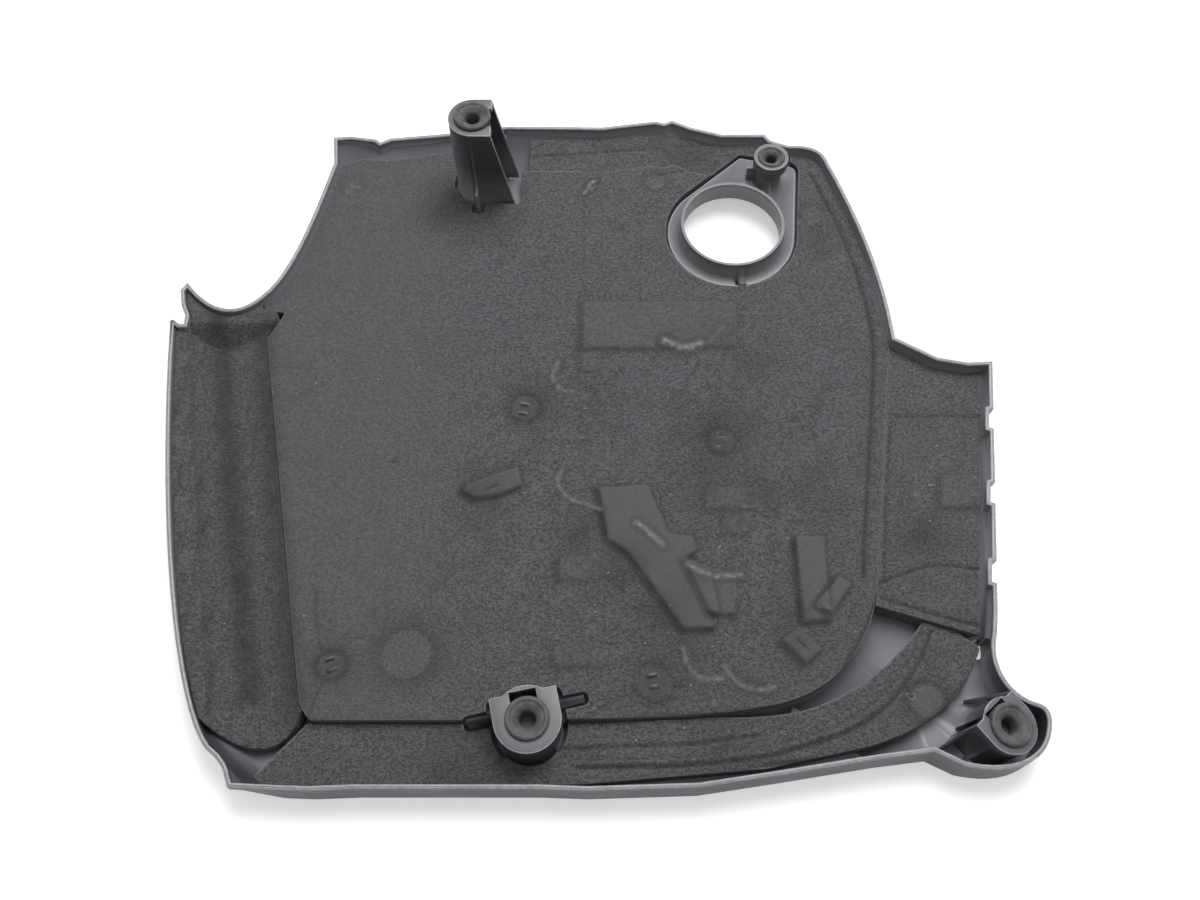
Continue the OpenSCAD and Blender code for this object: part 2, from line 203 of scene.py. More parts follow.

# Discs where the moulding's blades hold the mat, in millimetres: centre, radius, depth and
# how much painted shade lies in the dimple round them
ROUND_MARKS = [
    ((-35, 3), 9.4, 1.3, 0.8), ((96, -22), 8.8, 1.3, 0.9), ((48, -186), 10.4, 0.9, 0.6),
    ((172, 166), 8.0, 0.9, 0.5), ((57, 196), 7.5, 0.8, 0.4), ((-170, 192), 7.0, 0.7, 0.25),
    ((-147, -175), 8.0, 1.0, 0.8), ((-194, 22), 11.0, 0.4, 0.2), ((-102, -168), 15.5, 0.6, 0.5),
]

# Creases in the large mat, in millimetres: path, depth and width
CREASES = [
    ([(-165, -208), (-120, -210), (-60, -209), (-50, -210)], 1.3, 1.3),
    ([(0, -209), (60, -206), (115, -201), (150, -190), (174, -159), (188, -130)], 1.3, 1.3),
    ([(-161, -127), (-159, -146), (-154, -165)], 0.9, 1.0),
    ([(-160, -217), (-154, -195), (-147, -178)], 0.9, 1.1),
    ([(-144, -170), (-136, -160), (-128, -157)], 0.6, 1.0),
    ([(-142, -176), (-132, -174), (-126, -175)], 0.6, 0.9),
    ([(55, -188), (74, -192), (84, -200)], 0.5, 1.0),
    ([(38, -192), (22, -197), (8, -207)], 0.6, 1.1),
    ([(150, -1), (158, -22), (158, -51)], 0.5, 1.2),
    ([(4, 198), (4, 130), (5, 90)], 0.5, 1.4),
    ([(45, 165), (44, 120), (44, 90)], 0.35, 1.2),
    ([(61, 203), (83, 207), (106, 208), (118, 212)], 0.7, 1.0),
    ([(45, 195), (52, 198), (61, 203)], 0.5, 1.0),
    ([(-10, -20), (-10, -38)], 0.4, 1.0),
]

# Rubbed arcs and scuffs, in millimetres: path, width and how light
SCUFFS = [
    ([(-13, 38), (-17, 26), (-10, 16), (-3, 15)], 1.6, 0.75),
    ([(-10, -45), (-12, -53), (-7, -62), (3, -68), (16, -72)], 1.6, 0.75),
    ([(3, -68), (16, -72)], 1.8, 0.6),
    ([(66, -164), (69, -176), (77, -183), (89, -183)], 1.9, 0.75),
    ([(90, -175), (97, -185), (109, -190), (120, -188)], 1.6, 0.75),
    ([(70, -110), (76, -114), (87, -118), (104, -117)], 1.8, 1.0),
    ([(39, -82), (46, -88), (55, -97)], 1.9, 1.0),
    ([(4, 186), (7, 190), (8, 194), (12, 197)], 1.5, 1.4),
    ([(9, 188), (11, 192)], 1.2, 1.0),
    ([(60, 56), (67, 52), (76, 50), (85, 53)], 2.6, 1.3),
    ([(-7, -20), (10, -20)], 0.9, 0.5),
    ([(21, -14), (21, -38)], 0.9, 0.5),
    ([(108, -70), (119, -72)], 1.0, 0.7),
    ([(81, -191), (84, -199)], 1.3, 0.5),
    ([(150, -137), (159, -140)], 1.8, 0.5),
    ([(100, -126), (100, -132)], 1.2, 0.5),
    ([(90, 52), (101, 66)], 1.4, 0.35),
]

# Slits in the large mat, in millimetres: centre, turn and length
SLITS = [((-55, -57), 25, 9), ((138, -161), -50, 7), ((-120, -38), 0, 2), ((48, -152), 80, 3)]

# Places between which the large mat grows smooth towards the left, in millimetres
PRESSED_LEFT = (-40, -140)

# Dust in the large mat, in millimetres: centre, reach and amount
DUST = [((-172, -70), 62, 0.55), ((-150, -165), 50, 0.55), ((-196, 20), 44, 0.5),
        ((-33, 172), 26, 0.55), ((20, 172), 34, 0.35), ((-120, -40), 70, 0.25),
        ((176, 128), 24, 0.35), ((-60, -190), 60, 0.3), ((-190, 120), 40, 0.3)]

# Soft dark patches in the large mat, in millimetres: centre, reach and amount
PATCHES = [((92, -18), 24, 0.55), ((84, -42), 20, 0.4), ((-30, 4), 20, 0.45),
           ((2, -86), 16, 0.4), ((30, -112), 20, 0.5), ((52, -140), 22, 0.45),
           ((66, -164), 16, 0.4), ((48, -186), 18, 0.45), ((-62, -62), 18, 0.4),
           ((120, -60), 20, 0.3), ((134, -150), 18, 0.4), ((-100, 168), 18, 0.35),
           ((-62, 160), 22, 0.3), ((176, 150), 18, 0.4), ((-147, -175), 16, 0.4),
           ((100, 60), 22, 0.25), ((118, 40), 20, 0.3), ((12, 10), 26, 0.25),
           ((150, -60), 20, 0.25)]

# Rolled edge of the large mat along the right, in millimetres
ROLLED_EDGE = [(178, 205), (191.8, 161.7), (201.2, 123), (206.9, 87), (208.5, 53), (203, 8),
               (190, -75), (184, -118)]
ROLLED_CREASE = [(174, 203.7), (188, 160), (197.3, 122), (202.9, 86.5), (204.4, 53), (199, 8),
                 (186, -75), (180, -118)]

# Marks of the mat in the lower band, in millimetres
BAND_RIDGE = [(217, -149), (210, -165), (200, -179), (190, -191), (175, -203), (155, -213),
              (132, -220), (109, -226), (60, -231), (0, -232)]
BAND_INNER = [(202, -143), (190, -163), (175, -181), (152, -193), (120, -204)]
BAND_OUTER = [(248, -166), (241, -178), (231, -189), (218, -202), (203, -212), (187, -223),
              (150, -229), (109, -233)]
BAND_LEDGE = [(110, -213), (74, -218), (-8, -221)]
PRESS_DISC = (212, -195)

# Marks of the mat on the right panel, in millimetres
SIDE_CREASE = [(213, -3), (275, -3)]
SIDE_BOX = [(239, -47), (268, -47), (265, -69), (236, -69)]
SIDE_ARC = [(189, -122), (224, -110), (258, -113)]
SIDE_BORDER = [(193, -121), (201, -63), (211, -3)]
SIDE_END = [(190, -131), (222, -142), (254, -151)]
SIDE_DISC = (223, -90)

# Marks of the mats in the trough and along the back, in millimetres
TROUGH_CREASE = [(-249, 73), (-236, -14)]
# The trough's valley line and its edge by the large mat, along which shade is painted
TROUGH_LINE = [(-252, 72), (-235, -15), (-216, -102), (-196, -190)]
TROUGH_EDGE = [(-216, 64), (-207, 10), (-196, -40), (-184, -98), (-170, -165), (-162, -196)]
STRIP_LINE = [(-41, 221), (46, 228), (130, 236)]
STRIP_FOLD = [(45, 195), (61, 203), (83, 207), (106, 208), (123, 213)]

# Rubber mounts: CAD node, name, seat in millimetres and lean in degrees
LARGE_MOUNTS = [("tower_grommet", "tower_mount", (-73.5, 196, 88), 0),
                ("front_grommet", "front_mount", (-26.5, -211, 36), 0),
                ("corner_grommet", "corner_mount", (252.5, -214, 33), 12)]
SMALL_MOUNT = ("boss_grommet", "boss_mount", (141.5, 202, 39), 0)

# Rings that a mount is drawn up through, in millimetres from its seat: radius and height
LARGE_RINGS = [(9, -15), (11.4, -13), (12, -11), (12, -3.6), (9.5, -3.6), (9.5, 0.1), (12.6, 0.1),
               (13, 0.6), (13, 1.5), (12.7, 2.4), (12.0, 2.95), (11.2, 3.1), (10.5, 2.9),
               (10.0, 2.3), (9.6, 1.9), (9.1, 1.9), (8.2, 1.4), (6.6, 0.3), (5.6, -0.7),
               (5.0, -1.6), (5.0, -12)]
SMALL_RINGS = [(4.6, -11), (7.6, -7), (7.6, 0.1), (9.7, 0.1), (10, 0.5), (10, 1.4), (9.7, 2.4),
               (9.1, 2.95), (8.4, 3.1), (7.8, 2.9), (7.4, 2.3), (7.1, 1.9), (6.7, 1.9),
               (5.8, 1.2), (4.8, 0.2), (4.1, -0.7), (3.9, -1.3), (3.9, -8)]


class MouldingSizes(bpy.types.PropertyGroup):
    """Finish of the plastic moulding"""
    rim_edge: bpy.props.FloatProperty(
        name="Rim edge", description="Rounding of the rim's and the land's edges",
        default=1.2 * MM, min=0.0, unit="LENGTH")
    edge: bpy.props.FloatProperty(
        name="Edge", description="Rounding of the edges of the tower, the collar and the holders",
        default=0.5 * MM, min=0.0, unit="LENGTH")
    colour: bpy.props.FloatVectorProperty(
        name="Colour", description="Colour of the moulding",
        default=(0.043, 0.044, 0.051), size=3, subtype="COLOR")
    # The rubbed colour on rounded edges is rubbed wear and a painted highlight
    rubbed: bpy.props.FloatVectorProperty(
        name="Rubbed colour", description="Colour of edges that are rubbed light",
        default=(0.34, 0.345, 0.36), size=3, subtype="COLOR")
    # The bloom colour paints faces that look up, and the low back of the moulding, lighter: dust
    # and painted light
    bloom: bpy.props.FloatVectorProperty(
        name="Bloom", description="Colour of the dusty bloom on faces that look up",
        default=(0.118, 0.120, 0.128), size=3, subtype="COLOR")
    grain: bpy.props.FloatProperty(
        name="Grain", description="Depth of the moulded grain",
        default=0.05 * MM, min=0.0, unit="LENGTH")


class FoamSizes(bpy.types.PropertyGroup):
    """Finish of the foam mats"""
    voxel: bpy.props.FloatProperty(
        name="Mesh size", description="Size of the faces on a mat",
        default=1.25 * MM, min=0.5 * MM, unit="LENGTH")
    rounding: bpy.props.IntProperty(
        name="Rounding", description="How often a mat's edges are smoothed",
        default=4, min=0)
    colour: bpy.props.FloatVectorProperty(
        name="Colour", description="Colour of clean foam",
        default=(0.096, 0.095, 0.102), size=3, subtype="COLOR")
    dust: bpy.props.FloatVectorProperty(
        name="Dust", description="Colour of the dust in the foam",
        default=(0.112, 0.100, 0.076), size=3, subtype="COLOR")
    # Colour of the painted shade in the foam's hollows and round its raised marks, and of its
    # soil
    soiled_and_shaded: bpy.props.FloatVectorProperty(
        name="Soiled", description="Colour of pressed and soiled foam",
        default=(0.026, 0.025, 0.027), size=3, subtype="COLOR")
    scuffed: bpy.props.FloatVectorProperty(
        name="Scuffed", description="Colour of rubbed foam",
        default=(0.27, 0.27, 0.275), size=3, subtype="COLOR")


class RubberSizes(bpy.types.PropertyGroup):
    """Finish of the rubber mounts"""
    colour: bpy.props.FloatVectorProperty(
        name="Colour", description="Colour of the rubber",
        default=(0.050, 0.050, 0.053), size=3, subtype="COLOR")
    bloom: bpy.props.FloatVectorProperty(
        name="Bloom", description="Colour of the dusty bloom on the rubber",
        default=(0.14, 0.14, 0.145), size=3, subtype="COLOR")


class StageSizes(bpy.types.PropertyGroup):
    """Floor and light"""
    floor: bpy.props.FloatProperty(
        name="Floor", description="Length of each side of the floor",
        default=6.0, min=1.0, unit="LENGTH")
    surround: bpy.props.FloatProperty(
        name="Surround", description="Strength of the light from all round",
        default=0.50, min=0.0)
    lamp_power: bpy.props.FloatProperty(
        name="Lamp", description="Power of the large lamp behind the cover",
        default=26.0, min=0.0, unit="POWER")


def pick(obj):
    """Selects this object only and makes it active."""
    bpy.ops.object.select_all(action="DESELECT")
    obj.select_set(True)
    bpy.context.view_layer.objects.active = obj


def copy_of(node, name):
    """A new object with a copy of a CAD node's mesh, its loose triangles merged."""
    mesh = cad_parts[node].data.copy()
    mesh.name = name
    mesh.materials.clear()
    obj = bpy.data.objects.new(name, mesh)
    bpy.context.scene.collection.objects.link(obj)
    pick(obj)
    bpy.ops.object.mode_set(mode="EDIT")
    bpy.ops.mesh.select_all(action="SELECT")
    bpy.ops.mesh.remove_doubles(threshold=MERGED_WITHIN * MM)
    bpy.ops.object.mode_set(mode="OBJECT")
    return obj


def stand_in(obj, node):
    """Puts a finished piece in the place of a CAD node."""
    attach(obj, BODY)
    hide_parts(node)


def rows_of(items, key):
    """The vector that each item of a mesh holds under a name, as rows."""
    flat = np.empty(len(items) * 3, np.float32)
    items.foreach_get(key, flat)
    return flat.reshape(-1, 3).astype(float)


def points_of(mesh):
    """The places of a mesh's vertices, as rows in millimetres."""
    return rows_of(mesh.vertices, "co") / MM


def store(mesh, name, values):
    """Keeps one number for each vertex under a name that a material reads."""
    layer = mesh.attributes.new(name, "FLOAT", "POINT")
    layer.data.foreach_set("value", np.clip(values, 0, 1).astype(np.float32))


def rise(start, end, x):
    """Goes smoothly from 0 to 1 as x goes from start to end."""
    t = np.clip((x - start) / (end - start), 0, 1)
    return t * t * (3 - 2 * t)


def fading(away, amount, reach):
    """An amount that fades softly with distance, to about a third of itself at its reach."""
    return amount * np.exp(-(away / reach) ** 2)


def moved(path, x, y):
    """A path moved by x and y."""
    return [(px + x, py + y) for px, py in path]


def stretch_distance(at, a, b):
    """How far points lie from the stretch between a and b."""
    a, b = np.array(a, float), np.array(b, float)
    along = np.clip(((at - a) @ (b - a)) / max((b - a) @ (b - a), 1e-9), 0, 1)
    return np.linalg.norm(at - (a + along[:, None] * (b - a)), axis=1)


def path_distance(at, path):
    """How far points lie from an open path."""
    return np.min([stretch_distance(at, a, b) for a, b in zip(path, path[1:])], axis=0)


def rounded(path, steps=4):
    """An open path as a smooth curve through its points."""
    points = [np.array(point, float) for point in (path[0], *path, path[-1])]
    curve = []
    for before, a, b, after in zip(points, points[1:], points[2:], points[3:]):
        for t in np.linspace(0, 1, steps, endpoint=False):
            cubic = 3 * a - before - 3 * b + after
            square = 2 * before - 5 * a + 4 * b - after + t * cubic
            curve.append(a + 0.5 * t * (b - before + t * square))
    return [*curve, points[-1]]


def outline_distance(at, outline):
    """How far points lie from a closed outline, less than nothing inside it."""
    ring = outline + outline[:1]
    inside = np.zeros(len(at), bool)
    for (ax, ay), (bx, by) in zip(ring, ring[1:]):
        crosses = (ay > at[:, 1]) != (by > at[:, 1])
        meet = (bx - ax) * (at[:, 1] - ay) / ((by - ay) or 1e-9) + ax
        inside ^= crosses & (at[:, 0] < meet)
    return np.where(inside, -1, 1) * path_distance(at, ring)


def waves(at, size, seed):
    """Soft uneven waves between about -1 and 1, of about that size in millimetres."""
    draw = np.random.default_rng(seed)
    total = np.zeros(len(at))
    for _ in range(WAVE_COUNT):
        turn = draw.uniform(0, 2 * math.pi)
        length = size * draw.uniform(0.6, 1.7)
        phase = draw.uniform(0, 2 * math.pi)
        run = at[:, 0] * math.cos(turn) + at[:, 1] * math.sin(turn)
        total += np.sin(run * 2 * math.pi / length + phase)
    return total / (WAVE_COUNT / 2)


class Relief:
    """Gathers how a mat's upper face is shaped, soiled, rubbed and painted with shade and
    highlights
    """

    def __init__(self, mesh, face_z):
        self.mesh = mesh
        self.place = points_of(mesh)
        self.at = self.place[:, :2]
        height = self.place[:, 2]
        up = rows_of(mesh.vertex_normals, "vector")[:, 2]
        self.upper = rise(face_z - MARKS_FADE[0], face_z - MARKS_FADE[1], height)
        near_top = rise(face_z - HIGHLIGHT_FADE[0], face_z - HIGHLIGHT_FADE[1], height)
        # Painted highlight on a mat's rounded edges: faces near the top that turn from up towards
        # the side
        self.edge = rise(*HIGHLIGHT_LEAVES_TOP, up) * rise(*HIGHLIGHT_LEAVES_SIDE, up) * near_top
        self.height = np.zeros(len(self.at))
        self.pressed = np.zeros(len(self.at))
        self.soiled_and_shaded = np.zeros(len(self.at))
        self.scuffed = np.zeros(len(self.at))
        self.dusty = np.zeros(len(self.at))

    def distance(self, centre):
        """How far the vertices lie from a point, seen from above."""
        return np.linalg.norm(self.at - np.array(centre), axis=1)

    def soil_and_shade(self, amount):
        """Darkens the foam at least this much, for soil and for painted shade."""
        self.soiled_and_shaded = np.maximum(self.soiled_and_shaded, amount)

    def press(self, amount):
        """Presses the foam smooth at least this much."""
        self.pressed = np.maximum(self.pressed, amount)

    def dust(self, centre, reach, amount):
        """A soft patch of dust."""
        self.dusty = np.maximum(self.dusty, fading(self.distance(centre), amount, reach))

    def patch(self, centre, reach, amount):
        """A soft dark patch."""
        self.soil_and_shade(fading(self.distance(centre), amount, reach))

    def waver(self, amount, size, seed, stretch=(1, 1)):
        """Makes the face uneven, with longer waves where the stretch is under 1."""
        self.height += amount * waves(self.at * stretch, size, seed)

    def field(self, outline, height, soft):
        """A raised smooth field, with painted shade round its edge and most at its lower left."""
        away = outline_distance(self.at, outline)
        lower_left = np.maximum(outline_distance(self.at + np.array(SHADE_SHIFT), outline), 0)
        on_top = rise(soft, -soft, away)
        outside = rise(-0.5 * soft, soft, away)
        moat = fading(np.maximum(away - soft, 0), MOAT_DEPTH * height, MOAT_WIDTH)
        self.height += height * on_top
        self.height -= moat * outside
        self.press(min(height, 1) ** 2 * on_top)
        # Painted shade round the field and its painted shadow at the lower left
        self.soil_and_shade(min(height, MOST_SHADE) * outside * np.maximum(
            fading(away, *SHADE_ROUND_FIELD), fading(lower_left, *SHADE_LOWER_LEFT)))

    def round_mark(self, centre, radius, depth, dark):
        """A smooth disc at the foot of a dimple, with painted shade in the dimple round it."""
        away = self.distance(centre)
        outside = np.maximum(away - radius, 0)
        skin_edge = radius - DISC_SKIN_EDGE
        self.height -= fading(outside, depth, DIMPLE_REACH * radius)
        self.height += DISC_RISE * depth * rise(radius, radius - DISC_EDGE, away)
        self.press(DISC_SMOOTH * min(depth, 1) * rise(radius, skin_edge, away))
        # Painted shade in the dimple round the disc
        self.soil_and_shade(fading(outside, DISC_SHADE * dark, DISC_SHADE_REACH * radius)
                  * rise(skin_edge, radius + DISC_SHADE_EDGE, away))

    def crease(self, path, depth, width):
        """A narrow valley that the foam folds along."""
        away = path_distance(self.at, rounded(path))
        self.height -= fading(away, depth, width)
        # Painted shade in the crease
        self.soil_and_shade(fading(away, CREASE_SHADE * depth, CREASE_SHADE_WIDTH * width))

    def ridge(self, path, height, width):
        """A soft ridge."""
        self.height += fading(path_distance(self.at, rounded(path)), height, width)

    def scuff(self, path, width, light):
        """A crumpled ridge, unevenly rubbed along its crest."""
        uneven = waves(self.at, *SCUFF_WAVES)
        away = path_distance(self.at + SCUFF_STRAY * uneven[:, None], rounded(path))
        height, height_varies = SCUFF_HEIGHT
        rubbed, rubbed_varies = SCUFF_RUBBED
        self.height += fading(away, height + height_varies * uneven, width)
        self.scuffed = np.maximum(
            self.scuffed,
            fading(away, light * (rubbed + rubbed_varies * uneven), SCUFF_CREST * width))
        # Painted shade at the foot of the ridge, on both sides
        self.soil_and_shade(fading(away - 2 * width, SCUFF_SHADE * light, width))

    def slit(self, centre, turn, length):
        """A short slit, darkened with painted shade."""
        way = np.array((math.cos(math.radians(turn)), math.sin(math.radians(turn)))) * length / 2
        middle = np.array(centre, float)
        away = stretch_distance(self.at, middle - way, middle + way)
        self.height -= fading(away, SLIT_DEPTH, SLIT_WIDTH)
        # Painted shade in the slit
        self.soil_and_shade(fading(away, *SLIT_SHADE))

    def apply(self):
        """Moves the vertices and keeps the marks for the foam material."""
        self.place[:, 2] += self.height * self.upper
        self.mesh.vertices.foreach_set("co", (self.place * MM).astype(np.float32).ravel())
        self.mesh.update()
        store(self.mesh, "soiled_and_shaded", self.soiled_and_shaded * self.upper)
        store(self.mesh, "scuffed", self.scuffed * self.upper)
        store(self.mesh, "dusty", self.dusty)
        store(self.mesh, "edge", self.edge)
        store(self.mesh, "pressed", self.pressed * self.upper)


def soft_mat(node, name):
    """A foam mat: the CAD solid remeshed finely, with its edges rounded."""
    sizes = bpy.context.scene.cover_foam
    mat = copy_of(node, name)
    mat.data.remesh_voxel_size = sizes.voxel
    mat.data.remesh_voxel_adaptivity = 0
    bpy.ops.object.voxel_remesh()
    smooth = mat.modifiers.new("Rounded edges", "SMOOTH")
    smooth.factor = 0.5
    smooth.iterations = sizes.rounding
    bpy.ops.object.modifier_apply(modifier=smooth.name)
    return mat


def finish_mat(mat, node, hidden_below):
    pick(mat)
    lower = mat.vertex_groups.new(name="lower face")
    low = np.flatnonzero(points_of(mat.data)[:, 2] < hidden_below)
    lower.add(low.tolist(), 1.0, "REPLACE")
    thin = mat.modifiers.new("Thinned lower face", "DECIMATE")
    thin.ratio = 1 - THINNED_SHARE * len(low) / len(mat.data.vertices)
    thin.vertex_group = lower.name
    bpy.ops.object.modifier_apply(modifier=thin.name)
    mat.vertex_groups.clear()
    bpy.ops.object.shade_smooth()
    mat.data.materials.append(foam_material())
    stand_in(mat, node)


def make_mat(node, name, face_z, hidden_below, shape):
    """A finished mat, with its upper face shaped by its own function."""
    mat = soft_mat(node, name)
    relief = Relief(mat.data, face_z)
    shape(relief)
    relief.apply()
    finish_mat(mat, node, hidden_below)


def shape_large_mat(relief):
    """Raised fields, dimples, creases, scuffs, dust, dark patches and painted shade on the middle
    panel.
    """
    relief.waver(0.35, size=90, seed=1)
    relief.waver(0.12, size=24, seed=2)
    for outline, height, soft in RAISED:
        relief.field(outline, height, soft)
    for centre, radius, depth, dark in ROUND_MARKS:
        relief.round_mark(centre, radius, depth, dark)
    for path, depth, width in CREASES:
        relief.crease(path, depth, width)
    for path, width, light in SCUFFS:
        relief.scuff(path, width, light)
    for centre, turn, length in SLITS:
        relief.slit(centre, turn, length)
    for centre, reach, amount in DUST:
        relief.dust(centre, reach, amount)
    for centre, reach, amount in PATCHES:
        relief.patch(centre, reach, amount)
    relief.ridge(ROLLED_EDGE, height=0.9, width=2.2)
    relief.crease(ROLLED_CREASE, depth=1.4, width=1.5)
    # Painted shade in the valley beside the trough
    relief.soil_and_shade(fading(path_distance(relief.at, TROUGH_EDGE), amount=0.4, reach=5))
    relief.press(0.5 * rise(*PRESSED_LEFT, relief.at[:, 0]))


def shape_band(relief):
    """The rolled ridge, the outer fold and the ledge of the band along the front."""
    relief.waver(0.45, size=22, seed=3, stretch=(0.35, 1))
    relief.ridge(BAND_RIDGE, height=1.4, width=2.0)
    relief.crease(moved(BAND_RIDGE, 2.4, -2.4), depth=1.3, width=1.2)
    relief.crease(moved(BAND_RIDGE, -2.2, 2.2), depth=0.7, width=1.0)
    relief.ridge(BAND_INNER, height=0.7, width=1.6)
    relief.crease(BAND_OUTER, depth=1.3, width=1.4)
    relief.ridge(BAND_LEDGE, height=0.8, width=1.6)
    relief.crease(moved(BAND_LEDGE, 0, -2.4), depth=1.0, width=1.1)
    relief.round_mark(PRESS_DISC, radius=10.5, depth=1.0, dark=0.6)
    relief.patch((-60, -232), reach=26, amount=0.4)
    relief.patch((90, -222), reach=20, amount=0.35)


def shape_side(relief):
    """The creases, the raised box with its painted shade, the dark patch and the dust of the
    right panel's pad.
    """
    relief.waver(0.3, size=60, seed=4)
    relief.crease(SIDE_CREASE, depth=1.0, width=1.2)
    relief.field(SIDE_BOX, height=0.6, soft=0.9)
    relief.crease(SIDE_ARC, depth=1.3, width=1.3)
    relief.crease(SIDE_BORDER, depth=0.9, width=1.2)
    relief.crease(SIDE_END, depth=1.3, width=1.3)
    relief.patch(SIDE_DISC, reach=15, amount=0.55)
    relief.dust((262, -30), reach=26, amount=0.3)


def shape_trough(relief):
    """The crease, the painted shade along the valley and the edge, the streaks and the dust of
    the left channel's liner.
    """
    # No painted highlight on the liner's rounded edges
    relief.edge[:] = 0
    relief.waver(0.3, size=26, seed=5, stretch=(1, 0.3))
    relief.crease(TROUGH_CREASE, depth=0.9, width=1.2)
    # Painted shade along the liner's valley and along its edge by the large mat
    relief.soil_and_shade(fading(path_distance(relief.at, TROUGH_LINE), amount=0.72, reach=9))
    relief.soil_and_shade(fading(path_distance(relief.at, TROUGH_EDGE), amount=0.7, reach=13))
    streaks = waves(relief.at * (1, 0.12), size=6, seed=6)
    relief.soil_and_shade(0.35 * rise(0.2, 0.9, streaks))
    relief.dusty[:] = 0.4


def shape_strip(relief):
    """The two creases of the strip between the tower and the boss."""
    relief.waver(0.25, size=30, seed=7, stretch=(0.4, 1))
    relief.crease(STRIP_LINE, depth=0.9, width=1.2)
    relief.crease(STRIP_FOLD, depth=0.7, width=1.0)
    relief.patch((80, 226), reach=26, amount=0.4)


# Foam mats: CAD node, name, height of the upper face and height under which the mat is
# hidden, both in millimetres, and the function that shapes it
LARGE_MAT = ("main_mat", "large_mat", PANEL_TOP, 12, shape_large_mat)
EDGE_MATS = [
    ("lower_mat", "lower_band", BAND_TOP, 6, shape_band),
    ("side_mat", "side_pad", SIDE_TOP, 10, shape_side),
    ("trough_mat", "trough_liner", TROUGH_LOW, 4, shape_trough),
    ("upper_mat", "upper_strip", STRIP_TOP, 7, shape_strip),
]


class Nodes:
    """Short ways to add and join the nodes of a material or of the world"""

    def __init__(self, owner):
        owner.use_nodes = True
        self.tree = owner.node_tree
        self.tree.nodes.clear()

    def add(self, kind, **values):
        """A new node, with its values set on its inputs or else on the node itself."""
        node = self.tree.nodes.new(kind)
        for key, value in values.items():
            if key in node.inputs:
                node.inputs[key].default_value = value
            else:
                setattr(node, key, value)
        return node

    def feed(self, socket, value):
        """Joins another node's output to an input, or sets a plain value on it."""
        if isinstance(value, bpy.types.NodeSocket):
            self.tree.links.new(value, socket)
        else:
            socket.default_value = value

    def attribute(self, name):
        """The numbers that a mesh keeps under a name."""
        return self.add("ShaderNodeAttribute", attribute_name=name).outputs["Fac"]

    def parts(self, vector):
        """The X, Y and Z of a vector."""
        node = self.add("ShaderNodeSeparateXYZ")
        self.feed(node.inputs[0], vector)
        return node.outputs

    def noise(self, coords, scale, detail, roughness=0.5):
        """A noise pattern on these coordinates."""
        node = self.add("ShaderNodeTexNoise", Scale=scale, Detail=detail, Roughness=roughness)
        self.feed(node.inputs["Vector"], coords)
        return node.outputs["Fac"]

    def ramp(self, value, low, high, bottom=0.0, top=1.0):
        """Spreads a value between low and high over bottom to top."""
        node = self.add("ShaderNodeMapRange")
        for key, number in (("From Min", low), ("From Max", high),
                            ("To Min", bottom), ("To Max", top)):
            node.inputs[key].default_value = number
        self.feed(node.inputs["Value"], value)
        return node.outputs["Result"]

    def calculate(self, operation, first, second):
        """Works out one number from two."""
        node = self.add("ShaderNodeMath", operation=operation)
        self.feed(node.inputs[0], first)
        self.feed(node.inputs[1], second)
        return node.outputs[0]

    def times(self, first, second):
        return self.calculate("MULTIPLY", first, second)

    def plus(self, first, second):
        return self.calculate("ADD", first, second)

    def layered(self, colour, layers):
        """A colour under layers, each an amount and a colour."""
        for amount, upper in layers:
            mix = self.add("ShaderNodeMix", data_type="RGBA")
            self.feed(mix.inputs["Factor"], amount)
            self.feed(mix.inputs[MIX_UNDER], colour)
            self.feed(mix.inputs[MIX_OVER], upper)
            colour = mix.outputs[MIX_RESULT]
        return colour

    def shade(self, colour, relief, strength, depth, finish):
        """Ends a material with its colour, a bump of that depth and its finish."""
        bump = self.add("ShaderNodeBump", Strength=strength, Distance=depth)
        self.feed(bump.inputs["Height"], relief)
        shader = self.add("ShaderNodeBsdfPrincipled")
        for key, value in finish.items():
            self.feed(shader.inputs[key], value)
        self.feed(shader.inputs["Base Color"], colour)
        self.feed(shader.inputs["Normal"], bump.outputs["Normal"])
        self.end("ShaderNodeOutputMaterial", shader.outputs[0])

    def end(self, kind, surface):
        """Joins a surface to the output."""
        self.feed(self.add(kind).inputs["Surface"], surface)


def tint(colour, share=1.0):
    """A colour made darker or lighter, as a node takes it."""
    return (*(part * share for part in colour), 1.0)


